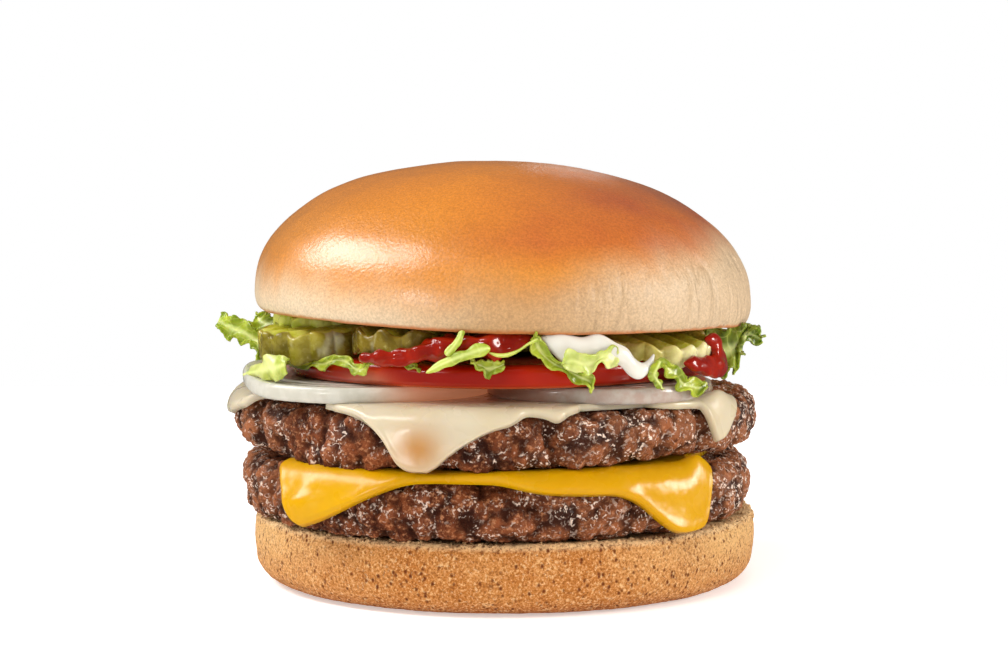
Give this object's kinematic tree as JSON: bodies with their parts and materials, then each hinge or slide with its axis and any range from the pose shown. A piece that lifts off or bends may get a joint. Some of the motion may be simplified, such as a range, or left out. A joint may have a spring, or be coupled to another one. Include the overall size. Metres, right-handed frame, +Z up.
{
  "type": "double cheeseburger",
  "caption": "Tall cheeseburger in a plain domed bun, with stacked patties, drooping cheese, onion, tomato, lettuce, crinkle-cut pickles and sauces.",
  "frame": {"origin": "centre of the bottom bun's flat underside, on the table", "axes": "+Z up through the stack, -Y towards the side that faces the camera in the picture, +X to the picture's right"},
  "size_m": [0.1198, 0.1177, 0.0912],
  "materials": {
    "crust": "satin baked crust, golden brown on top and pale at the sides",
    "crumb": "soft golden crust with fine pores",
    "meat": "grilled, granular, moist",
    "yellow_cheese": "melted, smooth and shiny",
    "white_cheese": "melted, smooth and satin",
    "onion": "moist, slightly see-through",
    "tomato": "moist skin and flesh",
    "lettuce": "crisp, veined",
    "pickle": "moist",
    "ketchup": "wet and glossy",
    "mayonnaise": "smooth and creamy"
  },
  "bodies": {
    "root": {"bun_bottom": "crumb", "bun_top": "crust", "cheese_white": "white_cheese", "cheese_yellow": "yellow_cheese", "ketchup_front": "ketchup", "ketchup_right": "ketchup", "lettuce_back": "lettuce", "lettuce_back_left": "lettuce", "lettuce_back_right": "lettuce", "lettuce_bed": "lettuce", "lettuce_far_left": "lettuce", "lettuce_far_right": "lettuce", "lettuce_front_blade": "lettuce", "lettuce_front_face": "lettuce", "lettuce_front_left": "lettuce", "lettuce_front_low": "lettuce", "lettuce_left_low": "lettuce", "lettuce_left_tip": "lettuce", "lettuce_rib_long": "lettuce", "lettuce_rib_short": "lettuce", "lettuce_right_bit": "lettuce", "lettuce_right_low": "lettuce", "lettuce_strip": "lettuce", "mayonnaise": "mayonnaise", "onion_back": "onion", "onion_left": "onion", "onion_right": "onion", "patty_lower": "meat", "patty_upper": "meat", "pickle_back": "pickle", "pickle_front": "pickle", "pickle_front_left": "pickle", "pickle_right": "pickle", "pickle_top_left": "pickle", "tomato_slice": "tomato"}
  },
  "joints": []
}
